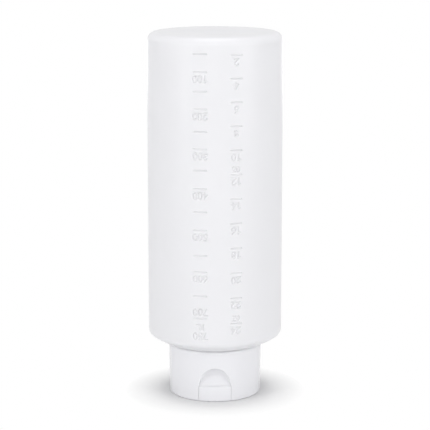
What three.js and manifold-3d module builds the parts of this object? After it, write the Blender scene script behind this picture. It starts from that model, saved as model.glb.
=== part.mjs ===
// Upside-down squeeze bottle, standing on its flip-top cap.
// Millimetres, +Z up, origin at the centre of the cap's face on the table; the thumb notch faces -Y.
import * as THREE from "three";
import { mergeVertices } from "three/addons/utils/BufferGeometryUtils.js";
import Module from "manifold-3d";

const wasm = await Module();
wasm.setup();
const { Manifold, Mesh } = wasm;

// Facets round a full turn
const BOTTLE_FACETS = 60;
const CAP_FACETS = 60;
const SMALL_FACETS = 36;

// Slivers below this size are merged away
const SLIVER = 0.005;

// Clearances between separate pieces
const GAP = 0.3;
const SEAT_GAP = 0.1;
const THREAD_GAP = 0.35;

// Bottle, blow-moulded in one piece
const overallHeight = 207.5;
const bodyRadius = 38.1;
const bodyWall = 0.95;
const baseWall = 1.3;
const baseCorner = 4.8;
const footWidth = 4.5;
const pushUpDepth = 2.2;
const shoulderStart = 37.5;
const shoulderCorner = 3.7;
const shoulderSlope = THREE.MathUtils.degToRad(32);
const shoulderArc = 45;

// Neck finish
const neckRadius = 17.55;
const neckBore = 15.5;
const neckRimZ = 12.5;
const neckFillet = 2;
const neckThroatFillet = 3;
const rimChamfer = 0.4;

// Screw thread, right-handed and single-start, on the neck and in the cap
const pitch = 4.233;
const threadHeight = 1.1;
const threadRoot = 0.95;
const threadCrest = 0.45;
const neckThreadTurns = 1.5;
const capThreadTurns = 1.25;
const threadStartZ = 14.4;
const stepsPerTurn = 30;
const threadRunOut = 0.12;
const threadEndRise = 0.05;

// Scale ticks pressed into the bottle's front, as many as the straight wall has room for;
// their spacing grows a little towards the neck
const tickHeight = 0.9;
const tickDepth = 0.4;
const tickMargin = 10;
const scaleTurn = THREE.MathUtils.degToRad(2.65);
const scaleSpread = THREE.MathUtils.degToRad(15.15);
const millilitreTicks = { spacing: 9.93, growth: 0.104, fromBase: 8.9, width: 6.8, side: -1 };
const ounceTicks = { spacing: 12.63, growth: 0.085, fromBase: 9.6, width: 5.95, side: 1 };

// Cap body
const capHeight = 29.05;
const capFaceRadius = 26.03;
const capRimRadius = 26.46;
const capWall = 1.5;
const capFaceEdge = 1.2;
const capRimEdge = 1.4;
const innerSkirtWall = 1.4;
const innerSkirtTop = 25.5;
const seatTubeWall = 1.4;

// Recess for the lid, across the cap's face
const lidHalfWidth = 9.15;
const recessWall = 1.2;
const recessDepth = 5.2;
const recessFloor = 1.5;
const hingeY = 9.85;
const hingeHalfGap = 0.3;

// Lid
const lidPlate = 1.5;
const lidRib = 1.2;
const lidBackRibHeight = 3;
const tabHeight = 8.5;
const tabWall = 1.6;
const tabLipClearance = 1.33;
const tabLipHeight = 1.4;
const plugRadius = 5.2;
const plugWall = 1.2;
const plugEngagement = 0.6;

// Thumb notch above the lid's tab
const notchHalfWidth = 9.1;
const notchHalfHeight = 10.1;
const notchCentreZ = 9.7;
const notchDepth = 3.6;
const notchInset = 1.0;
const notchWall = 1.2;

// Spout, self-closing valve and its retainer
const spoutBore = 5.6;
const spoutWall = 1.4;
const spoutHeight = 2.6;
const valveFlangeRadius = 8.2;
const valveFlange = 1.4;
const valveHeadRadius = 4.6;
const valveHead = 1.1;
const valveDish = 1.0;
const valveSleeve = 0.6;
const valveSlit = 0.2;
const valveSlitLength = 5;
const valveTubeWall = 1.2;
const retainerHeight = 2.3;
const retainerWall = 1.5;
const retainerBead = 0.6;

// Sealing washer under the neck's rim
const washerThickness = 1.2;

// Sizes that follow from the ones above
const capBore = neckRadius + threadHeight + THREAD_GAP;
const innerSkirtRadius = capBore + innerSkirtWall;
const recessHalfWidth = lidHalfWidth + GAP;
const recessBackY = hingeY + hingeHalfGap;
const recessTop = recessDepth + recessFloor;
const pocketTop = tabHeight + GAP;
const washerZ = neckRimZ - GAP - washerThickness;
const seatTubeTop = washerZ - GAP;
const seatTubeBore = neckBore + SEAT_GAP;
const valveTubeBore = valveFlangeRadius + GAP;
const valveFlangeZ = recessTop + GAP;
const retainerZ = valveFlangeZ + valveFlange + GAP;
const retainerBeadZ = retainerZ + retainerHeight + GAP;
const spoutZ = recessDepth - spoutHeight;
const plugZ = spoutZ + plugEngagement;
const valveHeadZ = plugZ + GAP;
const frontAngle = -Math.PI / 2;
const FAR = 60;

// Points along an arc in the (r, z) plane, angles measured from +r towards +z
function arc(r, z, radius, from, to, steps) {
  return Array.from({ length: steps + 1 }, (_, i) => {
    const angle = from + ((to - from) * i) / steps;
    return [r + radius * Math.cos(angle), z + radius * Math.sin(angle)];
  });
}

// A closed three.js geometry as a solid
function solid(geometry) {
  geometry.deleteAttribute("normal");
  geometry.deleteAttribute("uv");
  const merged = mergeVertices(geometry);
  const index = merged.index.array;
  const faces = [];
  for (let i = 0; i < index.length; i += 3) {
    const [a, b, c] = [index[i], index[i + 1], index[i + 2]];
    if (a !== b && b !== c && c !== a) faces.push(a, b, c);
  }
  const vertProperties = merged.attributes.position.array;
  return new Manifold(new Mesh({ numProp: 3, vertProperties, triVerts: new Uint32Array(faces) }));
}

// A profile of [r, z] points turned about the Z axis; the outer wall is listed going up
function revolve(profile, facets) {
  const points = profile.map(([r, z]) => new THREE.Vector2(r, z));
  return solid(new THREE.LatheGeometry(points, facets).rotateX(Math.PI / 2));
}

// A ring or disc between two radii and two heights
function ring(inner, outer, low, high, facets) {
  const closing = inner > 0 ? [[inner, low]] : [];
  return revolve([[inner, low], [outer, low], [outer, high], [inner, high], ...closing], facets);
}

function box([x0, y0, z0], [x1, y1, z1]) {
  const geometry = new THREE.BoxGeometry(x1 - x0, y1 - y0, z1 - z0);
  return solid(geometry.translate((x0 + x1) / 2, (y0 + y1) / 2, (z0 + z1) / 2));
}

function ellipsoid([rx, ry, rz], [x, y, z]) {
  return solid(new THREE.SphereGeometry(1, 32, 20).scale(rx, ry, rz).translate(x, y, z));
}

function together(...solids) {
  return solids.reduce((whole, next) => whole.add(next));
}

// A thread ridge swept along a helix: its root lies on rootRadius and it rises by `rise`
// (negative towards the axis), sinking to nothing over its run-outs
function threadRidge(rootRadius, rise, startZ, turns) {
  const steps = Math.round(turns * stepsPerTurn);
  const into = -Math.sign(rise) * threadCrest;
  const positions = [];
  for (let i = 0; i <= steps; i++) {
    const turn = (turns * i) / steps;
    const fade = Math.min(1, threadEndRise + Math.min(turn, turns - turn) / threadRunOut);
    const angle = frontAngle + turn * 2 * Math.PI;
    const z = startZ + turn * pitch;
    const section = [
      [rootRadius + into, -threadRoot],
      [rootRadius, -threadRoot],
      [rootRadius + rise * fade, -threadCrest],
      [rootRadius + rise * fade, threadCrest],
      [rootRadius, threadRoot],
      [rootRadius + into, threadRoot],
    ];
    for (const [r, dz] of section) positions.push(r * Math.cos(angle), r * Math.sin(angle), z + dz);
  }
  const corners = 6;
  const faces = [];
  for (let i = 0; i < steps; i++) {
    for (let j = 0; j < corners; j++) {
      const a = i * corners + j;
      const b = i * corners + ((j + 1) % corners);
      faces.push(a, b, a + corners, b, b + corners, a + corners);
    }
  }
  const last = steps * corners;
  for (let j = 1; j < corners - 1; j++) faces.push(0, j + 1, j, last, last + j, last + j + 1);
  if (rise > 0) faces.reverse();
  const geometry = new THREE.BufferGeometry();
  geometry.setAttribute("position", new THREE.Float32BufferAttribute(positions, 3));
  geometry.setIndex(faces);
  return solid(geometry);
}

// The shoulder from neck to body, set in from the outer face by `inset`
function shoulderCurve(inset, neck, fillet) {
  const corner = shoulderCorner - inset;
  const sweep = shoulderArc - inset;
  const cornerR = bodyRadius - shoulderCorner;
  const cornerEnd = [
    cornerR + corner * Math.sin(shoulderSlope),
    shoulderStart - corner * Math.cos(shoulderSlope),
  ];
  const sweepR = cornerEnd[0] - sweep * Math.sin(shoulderSlope);
  const sweepZ = cornerEnd[1] + sweep * Math.cos(shoulderSlope);
  const neckSlope = Math.asin((neck + fillet - sweepR) / (sweep + fillet));
  const filletZ = sweepZ - (sweep + fillet) * Math.cos(neckSlope);
  const down = -Math.PI / 2;
  return [
    ...arc(neck + fillet, filletZ, fillet, Math.PI, Math.PI / 2 + neckSlope, 3),
    ...arc(sweepR, sweepZ, sweep, down + neckSlope, down + shoulderSlope, 5).slice(1),
    ...arc(cornerR, shoulderStart, corner, down + shoulderSlope, 0, 3).slice(1),
  ];
}

// Half of the base's section from the body wall to the axis, set in by `inset`
function baseCurve(inset, thickness) {
  const footR = bodyRadius - baseCorner - footWidth;
  const top = overallHeight - thickness;
  const cornerR = bodyRadius - baseCorner;
  const steps = 4;
  const dish = Array.from({ length: steps }, (_, i) => {
    const share = (i + 1) / steps;
    return [footR * (1 - share), top - (pushUpDepth * (1 - Math.cos(Math.PI * share))) / 2];
  });
  const cornerZ = overallHeight - baseCorner;
  const corner = arc(0, 0, 1, 0, Math.PI / 2, 5).map(([r, z]) => [
    cornerR + (baseCorner - inset) * r,
    cornerZ + (baseCorner - thickness) * z,
  ]);
  return [...corner, [footR, top], ...dish];
}

// One groove of a scale at height z, cut into the wall from outside
function tick({ width, side }, z) {
  const halfAngle = width / 2 / bodyRadius;
  const floor = bodyRadius - tickDepth;
  const outside = bodyRadius + bodyWall;
  const steps = 2;
  const outline = new THREE.Shape();
  outline.moveTo(outside * Math.cos(-halfAngle), outside * Math.sin(-halfAngle));
  outline.lineTo(outside * Math.cos(halfAngle), outside * Math.sin(halfAngle));
  for (let k = steps; k >= 0; k--) {
    const angle = halfAngle * ((2 * k) / steps - 1);
    outline.lineTo(floor * Math.cos(angle), floor * Math.sin(angle));
  }
  const geometry = new THREE.ExtrudeGeometry(outline, { depth: tickHeight, bevelEnabled: false });
  geometry.translate(0, 0, z - tickHeight / 2);
  geometry.rotateZ(frontAngle + scaleTurn + side * scaleSpread);
  return solid(geometry);
}

function ticks(scale) {
  const lowest = shoulderStart + tickMargin;
  const grooves = [];
  let z = overallHeight - scale.fromBase;
  let step = scale.spacing + scale.growth;
  while (z > lowest) {
    grooves.push(tick(scale, z));
    z -= step;
    step += 2 * scale.growth;
  }
  return grooves;
}

function bottle() {
  const rim = [
    [neckBore + rimChamfer, neckRimZ],
    [neckRadius - rimChamfer, neckRimZ],
    [neckRadius, neckRimZ + rimChamfer],
  ];
  const outer = [...shoulderCurve(0, neckRadius, neckFillet), ...baseCurve(0, 0)];
  const inner = [
    ...shoulderCurve(bodyWall, neckBore, neckThroatFillet),
    ...baseCurve(bodyWall, baseWall),
  ].reverse();
  const shell = revolve(
    [...rim, ...outer, ...inner, [neckBore, neckRimZ + rimChamfer], rim[0]],
    BOTTLE_FACETS,
  );
  const thread = threadRidge(neckRadius, threadHeight, threadStartZ, neckThreadTurns);
  const grooves = together(...ticks(millilitreTicks), ...ticks(ounceTicks));
  return shell.add(thread).subtract(grooves);
}

// The cap's outer skin, from its face on the table up to its rim
function capSkin() {
  const quarter = Math.PI / 2;
  return [
    ...arc(capFaceRadius - capFaceEdge, capFaceEdge, capFaceEdge, -quarter, 0, 4),
    ...arc(capRimRadius - capRimEdge, capHeight - capRimEdge, capRimEdge, 0, quarter, 4),
  ];
}

function capShell() {
  const shellTopR = capRimRadius - capWall;
  const shellFootR = capFaceRadius - capWall;
  const plate = lidPlate;
  const skirtBore = capBore;
  const seatTubeRadius = seatTubeBore + seatTubeWall;
  const valveTubeRadius = valveTubeBore + valveTubeWall;
  const beadTop = retainerBeadZ + retainerBead;
  return revolve(
    [
      [0, 0],
      ...capSkin(),
      [shellTopR, capHeight],
      [shellFootR, plate],
      [innerSkirtRadius, plate],
      [innerSkirtRadius, innerSkirtTop],
      [skirtBore, innerSkirtTop],
      [skirtBore, plate],
      [seatTubeRadius, plate],
      [seatTubeRadius, seatTubeTop],
      [seatTubeBore, seatTubeTop],
      [seatTubeBore, plate],
      [valveTubeRadius, plate],
      [valveTubeRadius, beadTop],
      [valveTubeBore - retainerBead, beadTop],
      [valveTubeBore, retainerBeadZ],
      [valveTubeBore, plate],
      [0, plate],
    ],
    CAP_FACETS,
  );
}

// The cap's full outline as a plug, used to trim the lid to the cap's skin
function capEnvelope() {
  return revolve([[0, 0], ...capSkin(), [0, capHeight]], CAP_FACETS);
}

function notch(extra) {
  const centre = [0, notchInset - capFaceRadius, notchCentreZ];
  const reach = [notchHalfWidth + extra, notchDepth + extra, notchHalfHeight + extra];
  const above = box([-FAR, -FAR, pocketTop], [FAR, 0, FAR]);
  return ellipsoid(reach, centre).intersect(above);
}

function capBody() {
  const wallX = recessHalfWidth + recessWall;
  const insideR = capFaceRadius - capWall / 2;
  const annulus = ring(innerSkirtRadius - innerSkirtWall / 2, insideR, 0, capHeight, CAP_FACETS);
  const recessBlock = box([-wallX, -FAR, 0], [wallX, recessBackY + recessWall, recessTop]).intersect(
    ring(0, insideR, 0, capHeight, CAP_FACETS),
  );
  const pocketBlock = box([-wallX, -FAR, 0], [wallX, 0, pocketTop + recessWall]).intersect(annulus);
  const notchShell = notch(notchWall).intersect(annulus);
  const spout = ring(0, spoutBore + spoutWall, spoutZ, recessTop, SMALL_FACETS);
  const thread = threadRidge(
    capBore,
    -threadHeight,
    threadStartZ + threadRoot + threadCrest + THREAD_GAP,
    capThreadTurns,
  );
  const recess = box(
    [-recessHalfWidth, -FAR, -FAR],
    [recessHalfWidth, recessBackY, recessDepth],
  );
  const pocket = box([-recessHalfWidth, -FAR, -FAR], [recessHalfWidth, 0, pocketTop]).intersect(
    ring(innerSkirtRadius, FAR, -FAR, FAR, CAP_FACETS),
  );
  const orifice = ring(0, spoutBore, -FAR, recessTop + GAP, SMALL_FACETS);
  return together(capShell(), recessBlock, pocketBlock, notchShell)
    .subtract(recess)
    .subtract(pocket)
    .subtract(notch(0))
    .add(spout)
    .subtract(orifice)
    .add(thread);
}

function lid() {
  const backY = hingeY - hingeHalfGap;
  const ribDepth = recessDepth - GAP;
  const inPlate = lidPlate / 2;
  const skin = capEnvelope();
  const frontRing = (wall, low, high) =>
    ring(capFaceRadius - wall, FAR, low, high, CAP_FACETS).intersect(
      box([-lidHalfWidth, -FAR, low], [lidHalfWidth, 0, high]),
    );
  const plate = box([-lidHalfWidth, -FAR, 0], [lidHalfWidth, backY, lidPlate]);
  const ribs = [-1, 1].map((side) => {
    const [x0, x1] = [side * lidHalfWidth, side * (lidHalfWidth - lidRib)].sort((a, b) => a - b);
    return box([x0, -FAR, inPlate], [x1, backY - lidRib / 2, ribDepth]);
  });
  const backRib = box(
    [-lidHalfWidth, backY - lidRib, inPlate],
    [lidHalfWidth, backY, lidBackRibHeight],
  );
  const tab = frontRing(tabWall, inPlate, tabHeight);
  const lipDepth = capFaceRadius - innerSkirtRadius - tabLipClearance;
  const lip = frontRing(lipDepth, tabHeight - tabLipHeight, tabHeight);
  const plug = ring(plugRadius - plugWall, plugRadius, inPlate, plugZ, SMALL_FACETS);
  return together(plate, ...ribs, backRib, tab, lip).intersect(skin).add(plug);
}

// Silicone valve: a clamped flange, a thin rolling sleeve and a dished head with crossed slits
function dispensingValve() {
  const headRim = valveHeadZ;
  const headBack = valveHeadZ + valveDish + valveHead;
  const flangeTop = valveFlangeZ + valveFlange;
  const sleeveRadius = spoutBore - GAP;
  const body = revolve(
    [
      [0, headRim + valveDish],
      [valveHeadRadius * 0.5, headRim + valveDish * 0.75],
      [valveHeadRadius - valveSleeve, headRim],
      [valveHeadRadius, headRim + valveSleeve / 2],
      [valveHeadRadius, headBack],
      [sleeveRadius, valveFlangeZ],
      [valveFlangeRadius, valveFlangeZ],
      [valveFlangeRadius, flangeTop],
      [sleeveRadius + valveSleeve, flangeTop],
      [valveHeadRadius - valveSleeve, headBack + valveSleeve],
      [valveHeadRadius - 2 * valveSleeve, headBack],
      [0, headBack],
    ],
    SMALL_FACETS,
  );
  const [half, length] = [valveSlit / 2, valveSlitLength / 2];
  const slits = together(
    box([-length, -half, 0], [length, half, FAR]),
    box([-half, -length, 0], [half, length, FAR]),
  );
  return body.subtract(slits);
}

function valveRetainer() {
  const outer = valveTubeBore - GAP;
  const inner = outer - retainerWall;
  const top = retainerZ + retainerHeight;
  return revolve(
    [
      [inner, retainerZ],
      [outer, retainerZ],
      [outer, top - retainerBead],
      [outer - retainerBead, top],
      [inner, top],
      [inner, retainerZ],
    ],
    SMALL_FACETS,
  );
}

function neckSeal() {
  return ring(neckBore, capBore - GAP, washerZ, washerZ + washerThickness, CAP_FACETS);
}

function node(name, shape, material) {
  const { vertProperties, triVerts } = shape.simplify(SLIVER).getMesh();
  const indexed = new THREE.BufferGeometry();
  indexed.setAttribute("position", new THREE.BufferAttribute(vertProperties, 3));
  indexed.setIndex(new THREE.BufferAttribute(triVerts, 1));
  const geometry = indexed.toNonIndexed();
  geometry.computeVertexNormals();
  const mesh = new THREE.Mesh(geometry, new THREE.MeshStandardMaterial(material));
  mesh.name = name;
  return mesh;
}

const naturalPolyethylene = { color: 0xf0f0f3, roughness: 0.35, metalness: 0 };
const whitePolypropylene = { color: 0xf1f1f2, roughness: 0.28, metalness: 0 };
const clearSilicone = { color: 0xe6e8ea, roughness: 0.45, metalness: 0 };
const foamWasher = { color: 0xe9e9e6, roughness: 0.8, metalness: 0 };

const squeezeBottle = new THREE.Group();
squeezeBottle.add(
  node("bottle", bottle(), naturalPolyethylene),
  node("neck_seal", neckSeal(), foamWasher),
  node("cap_body", capBody(), whitePolypropylene),
  node("lid", lid(), whitePolypropylene),
  node("dispensing_valve", dispensingValve(), clearSilicone),
  node("valve_retainer", valveRetainer(), whitePolypropylene),
);

export default squeezeBottle;
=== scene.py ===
"""Looks for the upside-down squeeze bottle: smooth pieces, finishes, floor, light and camera.

Sizes are in millimetres until a mesh is made, when they become metres.
"""

import math

import bmesh
import bpy
import numpy as np
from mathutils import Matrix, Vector


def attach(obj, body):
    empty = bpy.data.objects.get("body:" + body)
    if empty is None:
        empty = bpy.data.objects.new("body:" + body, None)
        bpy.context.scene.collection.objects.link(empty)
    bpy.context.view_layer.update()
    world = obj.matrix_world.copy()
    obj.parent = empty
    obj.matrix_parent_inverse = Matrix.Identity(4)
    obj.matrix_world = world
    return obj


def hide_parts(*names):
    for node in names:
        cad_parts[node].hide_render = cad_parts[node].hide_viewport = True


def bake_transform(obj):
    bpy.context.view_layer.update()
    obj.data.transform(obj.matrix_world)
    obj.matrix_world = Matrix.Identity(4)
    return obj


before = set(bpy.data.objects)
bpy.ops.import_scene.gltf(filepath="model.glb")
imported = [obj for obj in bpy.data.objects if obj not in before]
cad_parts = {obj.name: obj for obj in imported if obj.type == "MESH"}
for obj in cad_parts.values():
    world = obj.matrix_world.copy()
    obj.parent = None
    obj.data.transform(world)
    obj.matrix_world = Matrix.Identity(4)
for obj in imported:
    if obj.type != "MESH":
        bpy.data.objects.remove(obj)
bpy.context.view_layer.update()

MM = 0.001
DOWN, BACK, QUARTER = -math.pi / 2, math.pi, math.pi / 2
# Reach of the blocks and rings that only cut or keep a region, past every side of the cap
FAR = 60

# Bottle
HEIGHT = 207.5
BODY_R = 38.1
WALL = 0.95
BASE_WALL = 1.3
BASE_CORNER = 4.8
STANDING_RING = 4.5
BASE_DISH = 2.2
SHOULDER_Z = 37.5
SHOULDER_CORNER = 3.7
SHOULDER_SLOPE = math.radians(32)
SHOULDER_ARC = 45.0
NECK_R = 17.55
NECK_BORE = 15.5
NECK_RIM = 12.5
NECK_EDGE = 0.4

# Thread
PITCH = 4.233
THREAD = 1.1
THREAD_Z = 14.4
THREAD_FOOT = 0.95
THREAD_CREST = 0.45

# Cap
CAP_H = 29.24
CAP_FACE_R = 26.03
CAP_RIM_R = 26.46
CAP_FACE_EDGE = 1.2
CAP_RIM_EDGE = 2.2
CAP_RIM_TURN = 0.945
CAP_RIM_LIFT = 0.17
CAP_WALL = 1.5
PLATE = 1.5
CAP_BORE = NECK_R + THREAD + 0.35
SKIRT_R = CAP_BORE + 1.4
SKIRT_TOP = 25.5

# Lid and thumb notch
LID_X = 9.22
SEAM = 0.08
LIP_SEAM = 0.02
GAP = 0.3
HINGE_Y = 9.85
RECESS = 5.2
TAB_H = 9.15
LIP_TURN = math.radians(52)
LIP_DEEP, LIP_TALL = 2.2, 2.0
NOTCH_HALF = 9.0
NOTCH_TOP = 20.15
NOTCH_DEEP = 4.3
NOTCH_LIP_SHARE = 0.28
NOTCH_LIP_RUN = 0.55


def arc(r, z, radius, start, end, steps):
    """Points along an arc in the (r, z) plane."""
    angles = np.linspace(start, end, steps + 1)
    return [(r + radius * math.cos(a), z + radius * math.sin(a)) for a in angles]


def store(bm, name, crease=32):
    """The bmesh, in millimetres, as an object with edges sharper than crease degrees kept crisp."""
    bmesh.ops.scale(bm, vec=(MM, MM, MM), verts=bm.verts)
    bm.normal_update()
    limit = math.radians(crease)
    for face in bm.faces:
        face.smooth = True
    for edge in bm.edges:
        edge.smooth = edge.is_manifold and edge.calc_face_angle(0) < limit
    mesh = bpy.data.meshes.new(name)
    bm.to_mesh(mesh)
    bm.free()
    obj = bpy.data.objects.new(name, mesh)
    bpy.context.scene.collection.objects.link(obj)
    return obj


def turned_rings(bm, profile, turns):
    """A ring of vertices for each (r, z) point; a point on the axis is one vertex, repeated."""
    rings = []
    for r, z in profile:
        if r < 1e-6:
            rings.append([bm.verts.new((0, 0, z))] * len(turns))
        else:
            rings.append([bm.verts.new((r * math.cos(a), r * math.sin(a), z)) for a in turns])
    return rings


def skin_rings(bm, rings, skip=lambda row, column: False):
    """Faces between each ring and the next, and back to the first, apart from the skipped ones."""
    count = len(rings[0])
    for row, (low, high) in enumerate(zip(rings, rings[1:] + rings[:1])):
        for i in range(count):
            if skip(row, i):
                continue
            j = (i + 1) % count
            corners = list(dict.fromkeys([low[i], low[j], high[j], high[i]]))
            if len(corners) > 2:
                bm.faces.new(corners)


def revolve(profile, count=192):
    """A closed (r, z) profile turned about Z in count steps."""
    bm = bmesh.new()
    turns = [2 * math.pi * i / count for i in range(count)]
    skin_rings(bm, turned_rings(bm, profile, turns))
    bmesh.ops.recalc_face_normals(bm, faces=bm.faces)
    return store(bm, "turned")


def ring(inner, outer, low, high, count=96):
    return revolve([(inner, low), (outer, low), (outer, high), (inner, high)], count)


def disc(radius, low, high, count=96):
    return revolve([(0, low), (radius, low), (radius, high), (0, high)], count)


def loft(bm, rows):
    """Faces between closed loops of equal length, with both ends filled."""
    count = len(rows[0])
    for low, high in zip(rows, rows[1:]):
        for j in range(count):
            k = (j + 1) % count
            bm.faces.new([low[j], low[k], high[k], high[j]])
    bm.faces.new(rows[0])
    bm.faces.new(rows[-1])
    bmesh.ops.recalc_face_normals(bm, faces=bm.faces)


def block(low, high):
    """A box between two opposite corners."""
    bm = bmesh.new()
    bmesh.ops.create_cube(bm, size=1)
    for v in bm.verts:
        v.co = [low[k] + (v.co[k] + 0.5) * (high[k] - low[k]) for k in range(3)]
    return store(bm, "block")


def scoop(extra):
    """The solid that hollows the thumb notch, grown by extra; it is shallower at the lip."""
    half, rise = NOTCH_HALF + extra, NOTCH_TOP - TAB_H + extra
    below_lip, least_rise, back_off, proud, power = 0.3, 0.03, 0.06, 4, 2.4
    foot = TAB_H - below_lip
    bm = bmesh.new()
    columns, rows = 48, 32
    back, front = [], []
    for i in range(columns + 1):
        u = -math.cos(math.pi * i / columns)
        x = half * u
        across = math.sqrt(max(0, 1 - u * u))
        skin = -math.sqrt(CAP_FACE_R ** 2 - x * x)
        tall = rise * max(across, least_rise)
        back.append([])
        front.append([])
        for j in range(rows + 1):
            s = math.sin(QUARTER * j / rows)
            lift = min(1, s / NOTCH_LIP_RUN)
            depth = NOTCH_DEEP * across * math.sqrt(max(0, 1 - s ** power))
            depth *= NOTCH_LIP_SHARE + (1 - NOTCH_LIP_SHARE) * lift * lift * (3 - 2 * lift)
            inside = depth + extra if extra > 0 else depth - back_off
            back[-1].append(bm.verts.new((x, skin + inside, foot + tall * s)))
            front[-1].append(bm.verts.new((x, -CAP_FACE_R - proud, foot + tall * s)))
    for i in range(columns):
        for j in range(rows):
            for grid in (back, front):
                bm.faces.new([grid[i][j], grid[i + 1][j], grid[i + 1][j + 1], grid[i][j + 1]])
        for j in (0, rows):
            bm.faces.new([back[i][j], back[i + 1][j], front[i + 1][j], front[i][j]])
    for i in (0, columns):
        for j in range(rows):
            bm.faces.new([back[i][j], back[i][j + 1], front[i][j + 1], front[i][j]])
    bmesh.ops.recalc_face_normals(bm, faces=bm.faces)
    return store(bm, "scoop")


def combine(first, second, how):
    """first joined with, cut by or kept within second, which is used up."""
    step = first.modifiers.new("step", "BOOLEAN")
    step.operation = how
    step.solver = "MANIFOLD"
    step.object = second
    apply(first)
    bpy.data.objects.remove(second)
    return first


def apply(obj):
    """Makes the modifiers part of the mesh."""
    depsgraph = bpy.context.evaluated_depsgraph_get()
    mesh = bpy.data.meshes.new_from_object(obj.evaluated_get(depsgraph))
    obj.modifiers.clear()
    obj.data = mesh


def join(first, second):
    return combine(first, second, "UNION")


def cut(first, second):
    return combine(first, second, "DIFFERENCE")


def within(first, second):
    return combine(first, second, "INTERSECT")


def crisp(obj, name, crease=32, bevel=0.0):
    """The piece under its own name, its edges rounded by bevel and the sharp ones kept crisp."""
    if bevel:
        rounding = obj.modifiers.new("rounding", "BEVEL")
        rounding.width = bevel * MM
        rounding.segments = 2
        rounding.limit_method = "ANGLE"
        rounding.angle_limit = math.radians(40)
        apply(obj)
    bm = bmesh.new()
    bm.from_mesh(obj.data)
    bmesh.ops.dissolve_degenerate(bm, dist=1e-7, edges=bm.edges)
    bmesh.ops.scale(bm, vec=(1 / MM, 1 / MM, 1 / MM), verts=bm.verts)
    bpy.data.objects.remove(obj)
    return store(bm, name, crease)


def ridge(root, rise, start_z, turns, per_turn=96):
    """A screw thread's ridge on a helix, running out to nothing at both ends."""
    bm = bmesh.new()
    steps = round(turns * per_turn)
    sunk, run_out, least = 0.45, 0.12, 0.05
    into = -math.copysign(sunk, rise)
    rows = []
    for i in range(steps + 1):
        turn = turns * i / steps
        fade = min(1, least + min(turn, turns - turn) / run_out)
        a = DOWN + turn * 2 * math.pi
        z = start_z + turn * PITCH
        top = root + rise * fade
        section = [
            (root + into, -THREAD_FOOT), (root, -THREAD_FOOT), (top, -THREAD_CREST),
            (top, THREAD_CREST), (root, THREAD_FOOT), (root + into, THREAD_FOOT),
        ]
        rows.append([bm.verts.new((r * math.cos(a), r * math.sin(a), z + dz)) for r, dz in section])
    loft(bm, rows)
    return store(bm, "ridge")


def bow(x, z, rx, rz, start, end, steps=8):
    """Points along an elliptic arc between two angles in degrees."""
    angles = np.radians(np.linspace(start, end, steps + 1))
    return [(x + rx * math.cos(a), z + rz * math.sin(a)) for a in angles]


# Strokes of the moulded characters, on a grid 0 to 1 high and LETTER_WIDTH wide
LETTER_WIDTH = 0.62
LETTER_STEP = 0.82
ROUND = bow(0.31, 0.5, 0.29, 0.5, 0, 360, 16)
TOP_BOWL = bow(0.31, 0.74, 0.27, 0.26, 0, 360, 12)
LOW_BOWL = bow(0.31, 0.3, 0.3, 0.3, 0, 360, 12)
STROKES = {
    "0": [ROUND],
    "1": [[(0.12, 0.8), (0.36, 1), (0.36, 0)]],
    "2": [bow(0.31, 0.72, 0.28, 0.28, 165, -35) + [(0.03, 0), (0.61, 0)]],
    "3": [bow(0.3, 0.75, 0.27, 0.25, 160, -90) + bow(0.3, 0.25, 0.3, 0.25, 90, -160)],
    "4": [[(0.46, 0), (0.46, 1), (0.02, 0.27), (0.62, 0.27)]],
    "5": [[(0.56, 1), (0.12, 1), (0.08, 0.56)] + bow(0.28, 0.31, 0.31, 0.31, 125, -150)],
    "6": [LOW_BOWL, [(0.5, 1), (0.2, 0.72), (0.02, 0.36)]],
    "7": [[(0.02, 1), (0.6, 1), (0.22, 0)]],
    "8": [TOP_BOWL, LOW_BOWL],
    "9": [[(LETTER_WIDTH - x, 1 - z) for x, z in LOW_BOWL], [(0.12, 0), (0.42, 0.28), (0.6, 0.64)]],
    "M": [[(0, 0), (0, 1), (0.34, 0.3), (0.68, 1), (0.68, 0)]],
    "L": [[(0.04, 1), (0.04, 0), (0.55, 0)]],
    "O": [ROUND],
    "Z": [[(0.03, 1), (0.6, 1), (0.03, 0), (0.62, 0)]],
}
STROKE_HALF = 0.62
STROKE_SLOPE = 0.5
MARK_DEPTH = 0.5
MARK_MARGIN = 0.85
COLUMN_STEP, ROW_STEP = 0.17, 0.16


def scale_marks(words, tick_width, tick_zs):
    """Segments (u0, v0, u1, v1) of one scale: u to the reader's right, v up towards the neck."""
    segments = [(-tick_width / 2, -z, tick_width / 2, -z) for z in tick_zs]
    for text, z, height in words:
        width = (len(text) - 1) * LETTER_STEP + LETTER_WIDTH
        for i, letter in enumerate(text):
            left = i * LETTER_STEP - width / 2
            for line in STROKES[letter]:
                for (x0, z0), (x1, z1) in zip(line, line[1:]):
                    if math.hypot(x1 - x0, z1 - z0) < 0.01:
                        continue
                    segments.append((
                        (left + x0) * height, -z + (z0 - 0.5) * height,
                        (left + x1) * height, -z + (z1 - 0.5) * height,
                    ))
    return segments


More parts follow.
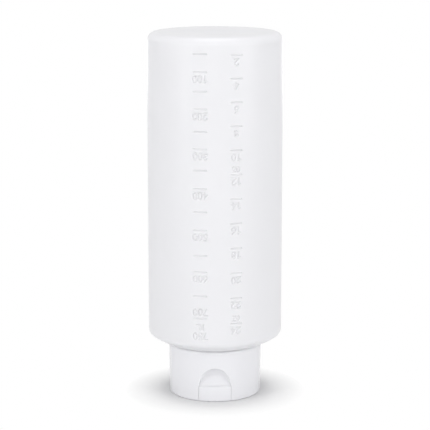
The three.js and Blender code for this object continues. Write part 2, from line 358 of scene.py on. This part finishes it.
ML_STEPS = [9.0, 9.7, 10.5, 9.7, 12.3, 9.6, 11.7, 10.2, 12.9, 10.2, 14.2, 9.4, 13.6, 12.8]
ML_ZS = [HEIGHT - sum(ML_STEPS[:i + 1]) for i in range(len(ML_STEPS))]
OZ_ZS = [HEIGHT - 9.6 - 12.63 * i - 0.085 * i * i for i in range(12)]
TICK_DROP, NUMBER_H, UNIT_H, UNIT_RISE = 3.9, 3.5, 2.7, 2.9
ML_WORDS = [(str(100 * (i + 1)), ML_ZS[2 * i + 1] - TICK_DROP, NUMBER_H) for i in range(6)]
ML_WORDS += [
    ("700", ML_ZS[13] + 3.6, NUMBER_H), ("ML", ML_ZS[13] - 4.8, UNIT_H), ("750", 41.6, 3.4),
]
OZ_WORDS = [(str(2 * (i + 1)), z - TICK_DROP, NUMBER_H) for i, z in enumerate(OZ_ZS)]
OZ_WORDS += [("OZ", OZ_ZS[5] + UNIT_RISE, UNIT_H), ("OZ", OZ_ZS[11] + UNIT_RISE, UNIT_H)]
PATCHES = [
    {"centre": -12.5, "half": 6.7, "segments": scale_marks(ML_WORDS, 6.8, ML_ZS)},
    {"centre": 17.8, "half": 5.2, "segments": scale_marks(OZ_WORDS, 5.95, OZ_ZS)},
]
BAND_LOW, BAND_HIGH = SHOULDER_Z, HEIGHT - BASE_CORNER


def mark_depth(u, v, segments):
    """How deep the marks are pressed at each (u, v), from the distance to the nearest stroke."""
    depth = np.zeros(u.shape)
    for u0, v0, u1, v1 in segments:
        near = (abs(v - (v0 + v1) / 2) < abs(v1 - v0) / 2 + 1)
        if not near.any():
            continue
        pu, pv = u[near] - u0, v[near] - v0
        du, dv = u1 - u0, v1 - v0
        length = du * du + dv * dv
        t = np.clip((pu * du + pv * dv) / length, 0, 1)
        away = np.hypot(pu - t * du, pv - t * dv)
        level = np.clip((STROKE_HALF - away) / STROKE_SLOPE, 0, 1)
        level = level * level * (3 - 2 * level)
        depth[near] = np.maximum(depth[near], level * MARK_DEPTH)
    return depth


def patch_rows(segments):
    """Heights of the rows of a scale's grid: close together across its marks only."""
    fine, edge = set(), 0.1
    for _, v0, _, v1 in segments:
        low, high = sorted((-v0, -v1))
        start, end = (low - MARK_MARGIN) / ROW_STEP, (high + MARK_MARGIN) / ROW_STEP
        fine.update(range(math.floor(start), math.ceil(end) + 1))
    rows = sorted(z * ROW_STEP for z in fine)
    rows = [z for z in rows if BAND_LOW + edge < z < BAND_HIGH - edge]
    return [BAND_LOW] + rows + [BAND_HIGH]


def shoulder(inset, neck, fillet, fine):
    """The (r, z) points from the neck out over the shoulder, inset by the wall on the inside."""
    corner, sweep = SHOULDER_CORNER - inset, SHOULDER_ARC - inset
    corner_r = BODY_R - SHOULDER_CORNER
    end_r = corner_r + corner * math.sin(SHOULDER_SLOPE)
    end_z = SHOULDER_Z - corner * math.cos(SHOULDER_SLOPE)
    sweep_r = end_r - sweep * math.sin(SHOULDER_SLOPE)
    sweep_z = end_z + sweep * math.cos(SHOULDER_SLOPE)
    slope = math.asin((neck + fillet - sweep_r) / (sweep + fillet))
    fillet_z = sweep_z - (sweep + fillet) * math.cos(slope)
    return (
        arc(neck + fillet, fillet_z, fillet, BACK, QUARTER + slope, 3 * fine)
        + arc(sweep_r, sweep_z, sweep, DOWN + slope, DOWN + SHOULDER_SLOPE, 5 * fine)[1:]
        + arc(corner_r, SHOULDER_Z, corner, DOWN + SHOULDER_SLOPE, 0, 3 * fine)[1:]
    )


def base(inset, thickness, fine):
    """The (r, z) points from the wall round the base's corner and over its dish to the axis."""
    foot_r = BODY_R - BASE_CORNER - STANDING_RING
    corner_r = BODY_R - BASE_CORNER
    top = HEIGHT - thickness
    steps = 4 * fine
    dish = []
    for i in range(1, steps + 1):
        share = i / steps
        dish.append((foot_r * (1 - share), top - BASE_DISH * (1 - math.cos(math.pi * share)) / 2))
    corner = [
        (corner_r + (BASE_CORNER - inset) * r, HEIGHT - BASE_CORNER + (BASE_CORNER - thickness) * z)
        for r, z in arc(0, 0, 1, 0, QUARTER, 4 * fine)
    ]
    return corner + [(foot_r, top)] + dish


def bottle():
    """The bottle's wall, with a fine grid under each scale for the marks pressed into it."""
    angles = list(np.linspace(-math.pi, math.pi, 192, endpoint=False))
    near = 0.01
    for patch in PATCHES:
        start = DOWN + math.radians(patch["centre"] - patch["half"])
        end = DOWN + math.radians(patch["centre"] + patch["half"])
        patch["angles"] = np.linspace(start, end, round((end - start) * BODY_R / COLUMN_STEP) + 1)
        angles = [a for a in angles if not start - near < a < end + near] + list(patch["angles"])
    angles.sort()
    outer = shoulder(0, NECK_R, 2, 3) + base(0, 0, 4)
    inner = (shoulder(WALL, NECK_BORE, 3, 2) + base(WALL, BASE_WALL, 2))[::-1]
    rim = [
        (NECK_BORE + NECK_EDGE, NECK_RIM), (NECK_R - NECK_EDGE, NECK_RIM),
        (NECK_R, NECK_RIM + NECK_EDGE),
    ]
    profile = rim + outer + inner + [(NECK_BORE, NECK_RIM + NECK_EDGE)]
    band = len(rim) + len(shoulder(0, NECK_R, 2, 3)) - 1
    bm = bmesh.new()
    rings = turned_rings(bm, profile, angles)
    covered = set()
    for patch in PATCHES:
        rows = np.array(patch_rows(patch["segments"]))
        turns = patch["angles"]
        middle = DOWN + math.radians(patch["centre"])
        u, v = np.meshgrid(-(turns - middle) * BODY_R, -rows)
        radius = BODY_R - mark_depth(u, v, patch["segments"])
        first = angles.index(turns[0])
        grid = [[rings[band][first + k] for k in range(len(turns))]]
        for i in range(1, len(rows) - 1):
            grid.append([
                bm.verts.new((radius[i, k] * math.cos(a), radius[i, k] * math.sin(a), rows[i]))
                for k, a in enumerate(turns)
            ])
        grid.append([rings[band + 1][first + k] for k in range(len(turns))])
        for low, high in zip(grid, grid[1:]):
            for k in range(len(turns) - 1):
                bm.faces.new([low[k], low[k + 1], high[k + 1], high[k]])
        covered.update(range(first, first + len(turns) - 1))
    skin_rings(bm, rings, lambda row, column: row == band and column in covered)
    bmesh.ops.recalc_face_normals(bm, faces=bm.faces)
    return store(bm, "bottle_wall", crease=50)


def cap_skin():
    """The cap's outside as (r, z) points, from its face up to the rim that follows the shoulder."""
    rim_z = CAP_H + CAP_RIM_LIFT - CAP_RIM_EDGE * math.sin(CAP_RIM_TURN)
    return (
        arc(CAP_FACE_R - CAP_FACE_EDGE, CAP_FACE_EDGE, CAP_FACE_EDGE, DOWN, 0, 8)
        + arc(CAP_RIM_R - CAP_RIM_EDGE, rim_z, CAP_RIM_EDGE, 0, CAP_RIM_TURN, 8)
    )


def cap_body():
    """The cap: skirt and face, lid recess, thumb notch, valve seat, spout and inner thread."""
    valve_bore, valve_wall, bead, bead_top = 8.5, 1.2, 0.6, 11.9
    seat_bore, seat_wall, seat_top = 15.6, 1.4, 10.7
    shell = revolve([
        (0, 0), *cap_skin(),
        (CAP_RIM_R - CAP_WALL, CAP_H), (CAP_FACE_R - CAP_WALL, PLATE), (SKIRT_R, PLATE),
        (SKIRT_R, SKIRT_TOP), (CAP_BORE, SKIRT_TOP), (CAP_BORE, PLATE),
        (seat_bore + seat_wall, PLATE), (seat_bore + seat_wall, seat_top), (seat_bore, seat_top),
        (seat_bore, PLATE), (valve_bore + valve_wall, PLATE), (valve_bore + valve_wall, bead_top),
        (valve_bore - bead, bead_top), (valve_bore, bead_top - bead),
        (valve_bore, PLATE), (0, PLATE),
    ])
    inside_r = CAP_FACE_R - CAP_WALL / 2
    half_x, back_y, lip_z = LID_X + SEAM, HINGE_Y + GAP, TAB_H + LIP_SEAM
    wall, inset = 1.2, 0.2

    def annulus():
        """The room between the cap's inner skirt and its outside."""
        return ring(SKIRT_R - 0.7, inside_r, inset, CAP_H - inset, 192)

    def above_lip():
        return block((-FAR, -FAR, lip_z), (FAR, 0, FAR))

    recess_walls = within(
        block((-half_x - wall, -FAR, inset), (half_x + wall, back_y + wall, RECESS + PLATE)),
        disc(inside_r, 0, CAP_H, 192))
    pocket_walls = within(
        block((-half_x - wall, -FAR, 0.3), (half_x + wall, 0, TAB_H + SEAM + wall)), annulus())
    notch_walls = within(within(scoop(wall), above_lip()), annulus())
    pocket = within(block((-half_x, -FAR, -9), (half_x, 0, lip_z)), ring(SKIRT_R, 70, -10, 70, 192))
    body = join(join(join(shell, recess_walls), pocket_walls), notch_walls)
    body = cut(body, block((-half_x, -FAR, -9), (half_x, back_y, RECESS)))
    body = cut(cut(body, pocket), within(scoop(0), above_lip()))
    spout_r, spout_bore, spout_low, spout_top = 7.0, 5.6, 2.6, 6.7
    body = join(body, disc(spout_r, spout_low, spout_top))
    body = cut(body, disc(spout_bore, -5, spout_top + 0.5))
    body = join(body, ridge(CAP_BORE, -THREAD, THREAD_Z + 1.75, 1.25))
    return crisp(body, "cap_shell", bevel=0.16)


def lid():
    """The strip lid: plate, side rails, back rail, front tab with its lip, and plug."""
    rail, rail_low, back_rail_top = 1.2, 0.7, 3
    tab, lip, lip_low = 1.6, 5.2, TAB_H - 1.4
    back_y = HINGE_Y - GAP

    def front(thick, low):
        """The lid's front from low up to the lip, thick from the cap's outside inwards."""
        return within(ring(CAP_FACE_R - thick, FAR, low, TAB_H, 192),
                      block((-LID_X, -FAR, low - 1), (LID_X, 0, TAB_H + 1)))

    body = block((-LID_X, -FAR, 0), (LID_X, back_y, PLATE))
    for x0, x1 in ((-LID_X, -LID_X + rail), (LID_X - rail, LID_X)):
        body = join(body, block((x0, -FAR, rail_low), (x1, back_y - rail / 2, RECESS - GAP)))
    body = join(body, block((-LID_X, back_y - rail, rail_low), (LID_X, back_y, back_rail_top)))
    body = join(join(body, front(tab, rail_low)), front(lip, lip_low))
    outside = [p for p in cap_skin() if p[1] < 2]
    for r, z in arc(0, 0, 1, 0, LIP_TURN, 10):
        drop = LIP_TALL * (math.sin(LIP_TURN) - z)
        outside.append((CAP_FACE_R + LIP_DEEP * (r - 1), TAB_H - drop))
    body = within(body, revolve([(0, 0), *outside, (0, TAB_H)]))
    plug_bore, plug_r, plug_top = 4.0, 5.2, 3.2
    body = join(body, ring(plug_bore, plug_r, rail_low, plug_top))
    return crisp(body, "flip_lid", bevel=0.2)


def valve():
    """The silicone dome with its two crossed slits."""
    body = revolve([
        (0, 4.5), (1.2, 4.42), (2.4, 4.2), (3.3, 3.85), (4.0, 3.5), (4.4, 3.5), (4.6, 3.8),
        (4.6, 5.6), (5.3, 7.0), (8.2, 7.0), (8.2, 8.4), (5.9, 8.4), (4.0, 6.2), (3.4, 5.6),
        (0, 5.6),
    ], 96)
    reach, slit = 2.5, 0.06
    body = cut(body, block((-reach, -slit, 0), (reach, slit, 20)))
    body = cut(body, block((-slit, -reach, 0), (slit, reach, 20)))
    return crisp(body, "valve_dome", crease=40)


def hinge():
    """The thin film that joins the lid and the cap in one moulding."""
    bm = bmesh.new()
    half, thick, reach = LID_X - 0.2, 0.3, 0.42
    section = ((-half, 0.0), (half, 0.0), (half, thick), (-half, thick))
    ys = np.linspace(HINGE_Y - reach, HINGE_Y + reach, 13)
    loft(bm, [[bm.verts.new((x, y, z)) for x, z in section] for y in ys])
    return store(bm, "hinge_film")


def node(tree, kind, **inputs):
    """A shader node with its inputs set; an underscore stands for a space."""
    made = tree.nodes.new(kind)
    for key, value in inputs.items():
        made.inputs[key.replace("_", " ")].default_value = value
    return made


def ramp(tree, source, low, high, start=0.35, end=0.65):
    """A colour ramp from low to high over a texture's value."""
    colours = tree.nodes.new("ShaderNodeValToRGB")
    colours.color_ramp.elements[0].position = start
    colours.color_ramp.elements[1].position = end
    colours.color_ramp.elements[0].color = (*low, 1)
    colours.color_ramp.elements[1].color = (*high, 1)
    tree.links.new(source, colours.inputs["Fac"])
    return colours.outputs["Color"]


def plastic(name, tint, deep, rough, bump, flow_scale, **principled):
    """A moulded plastic: faint flow marks in its colour, uneven gloss and a fine orange peel."""
    material = bpy.data.materials.new(name)
    material.use_nodes = True
    tree = material.node_tree
    shader = tree.nodes["Principled BSDF"]
    for key, value in principled.items():
        shader.inputs[key.replace("_", " ")].default_value = value
    place = tree.nodes.new("ShaderNodeTexCoord").outputs["Object"]
    flow = node(tree, "ShaderNodeTexNoise", Scale=flow_scale, Detail=1.5, Distortion=0.6)
    gloss = node(tree, "ShaderNodeTexNoise", Scale=flow_scale * 5, Detail=2.0)
    peel = node(tree, "ShaderNodeTexNoise", Scale=900.0, Detail=3.0)
    for texture in (flow, gloss, peel):
        tree.links.new(place, texture.inputs["Vector"])
    tree.links.new(ramp(tree, flow.outputs["Fac"], deep, tint), shader.inputs["Base Color"])
    shine = ramp(tree, gloss.outputs["Fac"], (rough * 0.97,) * 3, (rough * 1.03,) * 3)
    tree.links.new(shine, shader.inputs["Roughness"])
    relief = node(tree, "ShaderNodeBump", Strength=bump, Distance=0.0002)
    tree.links.new(peel.outputs["Fac"], relief.inputs["Height"])
    tree.links.new(relief.outputs["Normal"], shader.inputs["Normal"])
    return material


def finish(obj, material, body, slot, *nodes):
    """Gives the piece its material and tells the frame which body it rides and what it replaces."""
    obj.data.materials.clear()
    obj.data.materials.append(material)
    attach(obj, body)
    if nodes:
        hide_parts(*nodes)


# Light that enters the plastic spreads over about two millimetres
translucent = {"Subsurface_Scale": 0.002, "Subsurface_Radius": (1.0, 1.0, 1.0)}
milky = plastic("milky_polyethylene", (0.715, 0.715, 0.731), (0.71, 0.71, 0.726), 0.32, 0.05, 18.0,
                Subsurface_Weight=0.3, IOR=1.5, Specular_IOR_Level=0.3, **translucent)
white = plastic("white_polypropylene", (0.715, 0.715, 0.735), (0.709, 0.709, 0.729), 0.24, 0.04,
                25.0, Subsurface_Weight=0.2, IOR=1.49, **translucent)
silicone = plastic("clear_silicone", (0.8, 0.81, 0.83), (0.76, 0.77, 0.79), 0.4, 0.05, 60.0,
                   Transmission_Weight=0.35, IOR=1.41)
foam = plastic("seal_foam", (0.78, 0.78, 0.76), (0.7, 0.7, 0.69), 0.8, 0.5, 90.0)

finish(bottle(), milky, "bottle", "milky_polyethylene", "bottle")
thread = crisp(ridge(NECK_R, THREAD, THREAD_Z, 1.5), "neck_thread")
finish(thread, milky, "bottle", "milky_polyethylene")
finish(cap_body(), white, "cap", "white_polypropylene", "cap_body")
finish(lid(), white, "lid", "white_polypropylene", "lid")
finish(valve(), silicone, "cap", "clear_silicone", "dispensing_valve")
keeper = revolve([(6.7, 8.7), (8.2, 8.7), (8.2, 10.4), (7.6, 11.0), (6.7, 11.0)], 96)
keeper = crisp(keeper, "retainer_ring", bevel=0.12)
finish(keeper, white, "cap", "white_polypropylene", "valve_retainer")
washer = ring(NECK_BORE, CAP_BORE - GAP, 11.0, 12.2, 128)
washer = crisp(washer, "seal_washer", bevel=0.15)
finish(washer, foam, "seal", "seal_foam", "neck_seal")
film = hinge()
film.data.materials.append(white)
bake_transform(film)


def seen_rays(tree):
    """1 on camera, mirror and see-through rays, 0 on those that carry diffuse light."""
    path = tree.nodes.new("ShaderNodeLightPath")
    value = path.outputs["Is Camera Ray"]
    for name in ("Is Glossy Ray", "Is Transmission Ray"):
        either = tree.nodes.new("ShaderNodeMath")
        either.operation = "MAXIMUM"
        tree.links.new(value, either.inputs[0])
        tree.links.new(path.outputs[name], either.inputs[1])
        value = either.outputs[0]
    return value


# Distances from the object's centre, in metres, over which the camera's view of the table goes from
# its darker colour to glowing white. This paints a soft shadow ring around the cap.
PAINTED_SHADOW_FADE = (0.028, 0.052)


def lay_table():
    """A pale table that keeps the object's shadow and adds a painted soft shadow around it: to the
    camera it is darker near the object and fades to glowing plain white further out.
    """
    bm = bmesh.new()
    corners = [(-4000, -4000), (4000, -4000), (4000, 4000), (-4000, 4000)]
    bm.faces.new([bm.verts.new((x, y, -0.05)) for x, y in corners])
    table = store(bm, "table_top")
    material = bpy.data.materials.new("table_white_painted_shadow")
    material.use_nodes = True
    tree = material.node_tree
    tree.nodes.clear()
    out = tree.nodes.new("ShaderNodeOutputMaterial")
    lit = node(tree, "ShaderNodeBsdfDiffuse", Color=(0.93, 0.93, 0.93, 1))
    # The camera sees the table darker than the light it bounces. Near the object this is painted
    # shade that deepens the real shadow.
    seen = node(tree, "ShaderNodeBsdfDiffuse", Color=(0.8, 0.8, 0.8, 1))
    glow = node(tree, "ShaderNodeEmission", Color=(1, 1, 1, 1), Strength=1.0)
    far = tree.nodes.new("ShaderNodeVectorMath")
    far.operation = "LENGTH"
    fade = tree.nodes.new("ShaderNodeMapRange")
    fade.inputs["From Min"].default_value, fade.inputs["From Max"].default_value = PAINTED_SHADOW_FADE
    tree.links.new(tree.nodes.new("ShaderNodeTexCoord").outputs["Object"], far.inputs[0])
    tree.links.new(far.outputs["Value"], fade.inputs["Value"])
    # Mixing the darker table into glowing white with distance from the object paints the shadow's
    # soft falloff.
    both = tree.nodes.new("ShaderNodeMixShader")
    choose = tree.nodes.new("ShaderNodeMixShader")
    tree.links.new(fade.outputs[0], both.inputs[0])
    tree.links.new(seen.outputs[0], both.inputs[1])
    tree.links.new(glow.outputs[0], both.inputs[2])
    tree.links.new(seen_rays(tree), choose.inputs[0])
    tree.links.new(lit.outputs[0], choose.inputs[1])
    tree.links.new(both.outputs[0], choose.inputs[2])
    tree.links.new(choose.outputs[0], out.inputs[0])
    table.data.materials.append(material)


def light_room():
    """A room whose soft light is stronger from the front and that is seen as plain white."""
    world = bpy.data.worlds.new("room")
    bpy.context.scene.world = world
    world.use_nodes = True
    tree = world.node_tree
    tree.nodes.clear()
    out = tree.nodes.new("ShaderNodeOutputWorld")
    room = node(tree, "ShaderNodeBackground", Color=(0.985, 0.985, 1, 1))
    part = tree.nodes.new("ShaderNodeSeparateXYZ")
    tree.links.new(tree.nodes.new("ShaderNodeTexCoord").outputs["Generated"], part.inputs[0])
    front = tree.nodes.new("ShaderNodeMapRange")
    for name, value in (("From Min", 1.0), ("From Max", -1.0), ("To Min", 0.4), ("To Max", 0.73)):
        front.inputs[name].default_value = value
    tree.links.new(part.outputs["Y"], front.inputs["Value"])
    tree.links.new(front.outputs[0], room.inputs["Strength"])
    white_room = node(tree, "ShaderNodeBackground", Color=(1, 1, 1, 1), Strength=1.0)
    choose = tree.nodes.new("ShaderNodeMixShader")
    tree.links.new(seen_rays(tree), choose.inputs[0])
    tree.links.new(room.outputs[0], choose.inputs[1])
    tree.links.new(white_room.outputs[0], choose.inputs[2])
    tree.links.new(choose.outputs[0], out.inputs[0])


def softbox(name, place, aim, width, height, power):
    """A rectangular lamp, placed and sized in metres, that faces its aim."""
    light = bpy.data.lights.new(name, "AREA")
    light.shape = "RECTANGLE"
    light.size, light.size_y = width, height
    light.energy = power
    obj = bpy.data.objects.new(name, light)
    obj.location = place
    obj.rotation_euler = (Vector(aim) - Vector(place)).to_track_quat("-Z", "Y").to_euler()
    bpy.context.scene.collection.objects.link(obj)


def camera():
    """The photograph's view: from the front and a little above."""
    data = bpy.data.cameras.new("camera")
    data.lens = 141.45
    data.sensor_width = 36
    data.clip_end = 20
    obj = bpy.data.objects.new("camera", data)
    place, aim = Vector((0, -0.9444, 0.2916)), Vector((0, 0, 0.103))
    obj.location = place
    obj.rotation_euler = (aim - place).to_track_quat("-Z", "Y").to_euler()
    bpy.context.scene.collection.objects.link(obj)
    bpy.context.scene.camera = obj


lay_table()
light_room()
softbox("overhead", (0, 0, 1.3), (0, 0, 0.1), 0.7, 0.4, 4.5)
softbox("left", (-0.97, -0.74, 0.4), (0, 0, 0.05), 0.6, 0.8, 4.6)
softbox("right", (0.97, -0.74, 0.4), (0, 0, 0.05), 0.6, 0.8, 4.6)
softbox("front", (0, -1.3, 0.5), (0, 0, 0.05), 1.0, 0.4, 2.5)
softbox("back", (0, 1.3, 0.1), (0, 0, 0.1), 1.4, 0.2, 1.2)
camera()
bpy.context.scene.view_settings.view_transform = "Standard"
